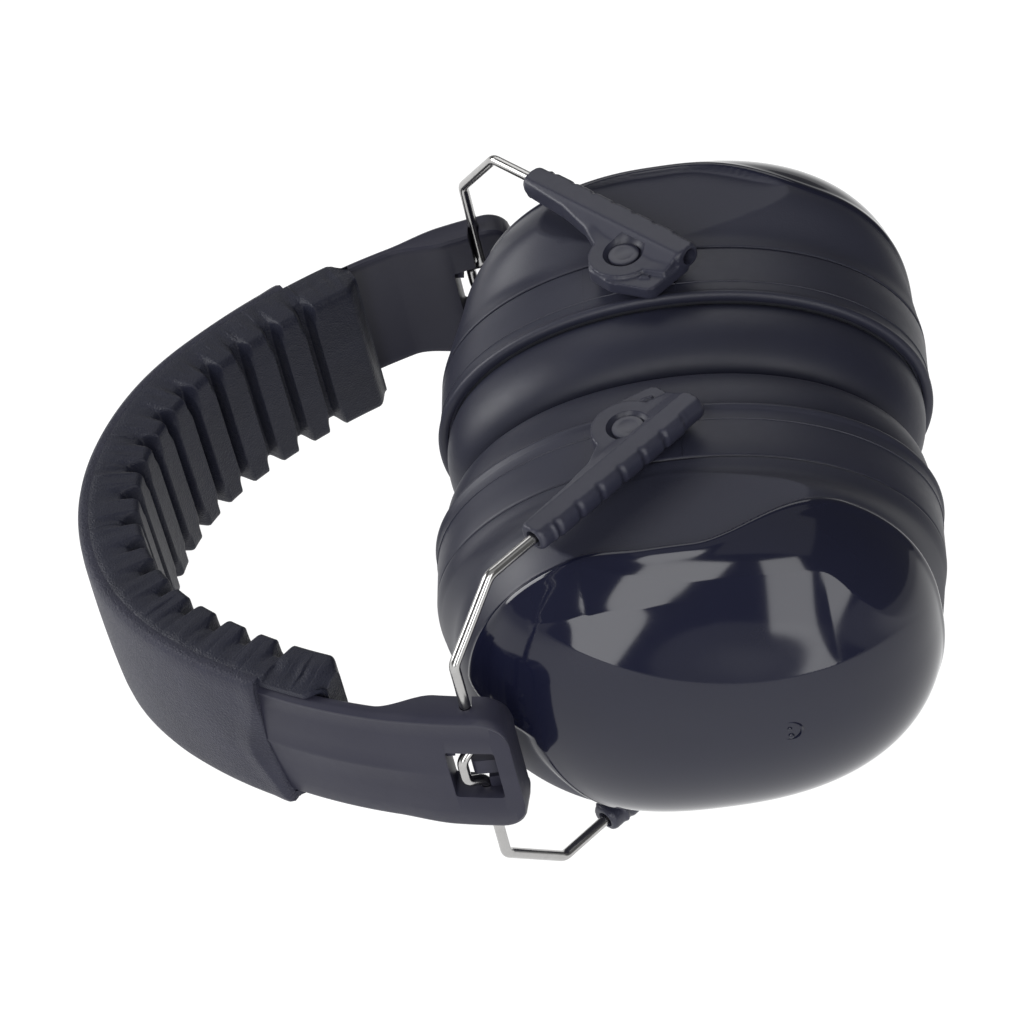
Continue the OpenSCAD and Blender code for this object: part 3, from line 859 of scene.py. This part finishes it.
def shell_material():
    """Glossy dome that turns to fine matte texture where the matte attribute says."""
    m = material("shell_plastic", (0.0066, 0.0074, 0.0185), 0.09, [], 0.04, spec=0.37, rough_var=0.02)
    nt = m.node_tree
    bsdf = nt.nodes["Principled BSDF"]
    coords = next(n for n in nt.nodes if n.type == "TEX_COORD")
    at = nt.nodes.new("ShaderNodeAttribute")
    at.attribute_name = "matte"

    gloss = bsdf.inputs["Roughness"].links[0].from_socket
    mixer = nt.nodes.new("ShaderNodeMix")
    mixer.inputs["B"].default_value = 0.58
    nt.links.new(at.outputs["Fac"], mixer.inputs["Factor"])
    nt.links.new(gloss, mixer.inputs["A"])
    nt.links.new(mixer.outputs["Result"], bsdf.inputs["Roughness"])

    gloss_color = bsdf.inputs["Base Color"].links[0].from_socket
    tone = nt.nodes.new("ShaderNodeMix")
    tone.data_type = "RGBA"
    nt.links.new(at.outputs["Fac"], tone.inputs["Factor"])
    color_in = {k.name: k for k in tone.inputs if k.type == "RGBA"}
    color_out = next(k for k in tone.outputs if k.type == "RGBA")
    color_in["B"].default_value = (0.018, 0.019, 0.033, 1)
    nt.links.new(gloss_color, color_in["A"])
    nt.links.new(color_out, bsdf.inputs["Base Color"])

    # fine grain on the matte part, over a slow waviness everywhere
    grain = noise_node(nt, coords, 2600, 2)
    scale = nt.nodes.new("ShaderNodeMath")
    scale.operation = "MULTIPLY"
    nt.links.new(grain.outputs["Fac"], scale.inputs[0])
    nt.links.new(at.outputs["Fac"], scale.inputs[1])
    bump = nt.nodes.new("ShaderNodeBump")
    bump.inputs["Distance"].default_value = 0.03 * MM
    nt.links.new(scale.outputs["Value"], bump.inputs["Height"])
    wave = noise_node(nt, coords, 45, 1)
    sink = nt.nodes.new("ShaderNodeBump")
    sink.inputs["Distance"].default_value = 0.06 * MM
    nt.links.new(wave.outputs["Fac"], sink.inputs["Height"])
    nt.links.new(sink.outputs["Normal"], bump.inputs["Normal"])
    nt.links.new(bump.outputs["Normal"], bsdf.inputs["Normal"])
    return m


MAT["shell"] = shell_material()

# sections of the cushion as (share from the outer edge to the ear opening, depth)
SKIN = [
    (0.055, 17.2), (0.045, 16.2), (0.02, 15.7), (0.012, 15.2), (0.0, 14.6), (-0.012, 12.5), (-0.008, 10.2),
    (0.01, 8.0), (0.045, 6.0), (0.095, 4.2), (0.165, 2.6), (0.25, 1.4), (0.34, 0.7), (0.44, FACE_Y + 0.05),
    (0.55, FACE_Y), (0.66, FACE_Y + 0.1), (0.76, 0.7), (0.85, 1.6), (0.92, 3.0), (0.965, 4.9), (0.99, 7.2),
    (1.0, 10.0), (1.0, 13.5), (0.99, 17.2),
]
CORE = [(0.93, 16.9), (0.93, 10.6), (0.915, 7.2), (0.87, 4.4), (0.79, 2.6), (0.66, 1.7), (0.46, 1.7),
        (0.33, 2.7), (0.22, 4.6), (0.15, 7.4), (0.1, 10.8), (0.08, 14.0), (0.1, 16.9)]


def cushion_rings(profile, wrinkle, seed):
    """Closed oval ring of soft section, with a few slow waves round it."""
    rng = np.random.default_rng(seed)
    count = 240
    t = turn_angles(count)
    waves = rng.uniform(0, 2 * math.pi, 6)
    ripple = sum(math.exp(-k / 3) * np.sin((3 + 2 * k) * t + waves[k]) for k in range(6))
    a0, b0 = CUP_A - 1.6, CUP_B - 1.6
    rings = []
    for q, y in profile:
        body = math.exp(-(((y - 8) / 7) ** 2))
        inner = smooth((q - 0.8) / 0.2)
        d = wrinkle * body * ripple * (0.3 + inner)
        x, z = superoval(mix(a0, EAR_A, q) + d, mix(b0, EAR_B, q) + d, CUP_N, t)
        lift = 0.10 * wrinkle * np.sin(5 * t + waves[2]) if 0.2 < q < 0.9 else 0
        rings.append(np.column_stack([CUP_X + x, y + np.abs(lift) * np.ones(count), z]))
    return rings


def subdivided(ob, levels):
    m = ob.modifiers.new("smooth", "SUBSURF")
    m.levels = m.render_levels = levels
    apply_modifiers(ob)
    shade_smooth(ob.data)
    return ob


def build_foam_insert(name, side):
    """Crowned slab of open-cell foam inside the dome."""
    profile = (
        (-22, 26.0), (-10, 26.2), (-4, 26.6), (-1, 27.6), (0, 30), (0.3, 36), (0, 43), (-3, 48.5),
        (-8, 51.5), (-16, 52),
    )
    rings = [cup_ring(d, y, count=120, a=41, b=25.5) for d, y in profile]
    return subdivided(tube_of_rings(f"cup_foam_{name}_insert", rings, side), 1)


def build_pins(name, side):
    """Two round-headed pins, one above and one below."""
    z = ARM_OUT_Z
    profile = [
        (PIN_R, 33.0), (PIN_R, z - 1.3), (PIN_R + 0.75, z - 1.0), (PIN_R + 0.9, z - 0.7),
        (PIN_R + 0.75, z - 0.35), (PIN_R - 0.1, z - 0.15), (PIN_R - 0.5, z - 0.28), (0.1, z - 0.3),
    ]
    pins = [lathe("pin", profile, PIVOT[:2], side, up) for up in (1, -1)]
    return join(f"pivot_pins_{name}_headed", pins)


for name, side in SIDES.items():
    body = f"cup_{name}"
    place(build_ring(name, side), MAT["ring"], body, [f"mount_ring_{name}"])
    place(build_shell(name, side), MAT["shell"], body, [f"cup_shell_{name}"])

    place(build_pins(name, side), MAT["pin"], body, [f"pivot_pins_{name}"])

    core = cushion_rings(CORE, 0.0, 3)
    core = tube_of_rings(f"cushion_foam_{name}_core", core, side, caps=False, loop=True, angle=0)
    place(core, MAT["foam"], body, [f"cushion_foam_{name}"])
    skin = cushion_rings(SKIN, 0.12, 5 + side)
    skin = tube_of_rings(f"cushion_{name}_skin", skin, side, caps=False, loop=True, angle=0)
    skin = subdivided(skin, 1)
    place(skin, MAT["cushion"], body, [f"cushion_skin_{name}"])
    for soft in (core, skin):
        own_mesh(soft)

    insert = place(build_foam_insert(name, side), MAT["foam"], body, [f"cup_foam_{name}"])

    dress(frame["nodes"][f"seal_plate_{name}"], MAT["plate"])


# ---------------------------------------------------------------- stage, lights, camera
def softbox(label, location, target, size, power, color=(1, 1, 1)):
    data = bpy.data.lights.new(label, "AREA")
    data.shape = "RECTANGLE"
    data.size, data.size_y = size
    data.energy = power
    data.color = color
    ob = bpy.data.objects.new(label, data)
    ob.location = location
    ob.rotation_mode = "QUATERNION"
    ob.rotation_quaternion = (Vector(target) - Vector(location)).to_track_quat("-Z", "Y")
    ob.visible_camera = False
    bpy.context.scene.collection.objects.link(ob)
    return ob


ROOM, FLOOR_GLOW, FLOOR_FAR = 0.16, 1.0, 0.5
LIT_POINT = (0.03, 0, 0.06)
# name, azimuth from the front, elevation, distance, size, brightness of the panel
LIGHTS = (
    ("left_window", -20, 25, 0.55, (0.19, 0.58), 5.0),
    ("right_window", 21, 25, 0.55, (0.165, 0.58), 4.2),
    ("left_wall", -98, 12, 0.8, (0.5, 0.36), 8.0),
    ("back_left", -165, 40, 0.9, (0.8, 0.5), 1.5),
    ("overhead", 0, 80, 1.0, (1.0, 0.7), 0.35),
)


def stage():
    """Pale floor that glows most round the object, and a few plain panels of light."""
    half = 3.0
    me = bpy.data.meshes.new("floor")
    corners = [(-half, -half, 0), (half, -half, 0), (half, half, 0), (-half, half, 0)]
    me.from_pydata(corners, [], [(0, 1, 2, 3)])
    ob = bpy.data.objects.new("floor", me)
    bpy.context.scene.collection.objects.link(ob)
    m = bpy.data.materials.new("floor_white")
    m.use_nodes = True
    nt = m.node_tree
    b = nt.nodes["Principled BSDF"]
    b.inputs["Base Color"].default_value = (0.12, 0.12, 0.12, 1)
    b.inputs["Roughness"].default_value = 0.7
    b.inputs["Emission Color"].default_value = (1, 1, 1, 1)
    coords = nt.nodes.new("ShaderNodeTexCoord")
    away = nt.nodes.new("ShaderNodeVectorMath")
    away.operation = "LENGTH"
    fade = nt.nodes.new("ShaderNodeMapRange")
    fade.interpolation_type = "SMOOTHSTEP"
    fade.inputs["From Min"].default_value, fade.inputs["From Max"].default_value = 0.26, 0.7
    fade.inputs["To Min"].default_value, fade.inputs["To Max"].default_value = FLOOR_GLOW, FLOOR_FAR
    nt.links.new(coords.outputs["Object"], away.inputs[0])
    nt.links.new(away.outputs["Value"], fade.inputs["Value"])
    nt.links.new(fade.outputs["Result"], b.inputs["Emission Strength"])
    me.materials.append(m)

    world = bpy.data.worlds.new("studio")
    bpy.context.scene.world = world
    world.use_nodes = True
    world.node_tree.nodes["Background"].inputs["Color"].default_value = (1, 1, 1, 1)
    world.node_tree.nodes["Background"].inputs["Strength"].default_value = ROOM
    x, y, z = LIT_POINT
    for label, az, el, dist, size, glow in LIGHTS:
        a, e = math.radians(az), math.radians(el)
        flat = dist * math.cos(e)
        spot = (x + flat * math.sin(a), y - flat * math.cos(a), z + dist * math.sin(e))
        softbox(label, spot, LIT_POINT, size, glow * math.pi * size[0] * size[1])


# the camera, by its turn in the muff's frame: round Z, up from its XY plane, and about the view
AZIMUTH, ELEVATION, ROLL = math.radians(10.17), math.radians(42.4), math.radians(14.58)
DISTANCE, LENS = 896.4, 152.1
AIM = (80.0, 4.25, -1.37)


def camera():
    level = np.array([math.cos(AZIMUTH), math.sin(AZIMUTH), 0])
    back = math.cos(ELEVATION) * np.array([math.sin(AZIMUTH), -math.cos(AZIMUTH), math.tan(ELEVATION)])
    up = np.cross(back, level)
    right = math.cos(ROLL) * level - math.sin(ROLL) * up
    up = math.sin(ROLL) * level + math.cos(ROLL) * up
    target = np.array([AIM[0], 0, 0]) + AIM[1] * right + AIM[2] * up
    data = bpy.data.cameras.new("camera")
    data.lens = LENS
    data.clip_start, data.clip_end = 0.05, 20
    ob = bpy.data.objects.new("camera", data)
    bpy.context.scene.collection.objects.link(ob)
    turn = Matrix([(TURN @ v).tolist() for v in (right, up, back)]).transposed()
    ob.matrix_world = Matrix.Translation(lay(target + back * DISTANCE).tolist()) @ turn.to_4x4()
    bpy.context.scene.camera = ob


stage()
camera()
bpy.context.scene.view_settings.view_transform = "Standard"
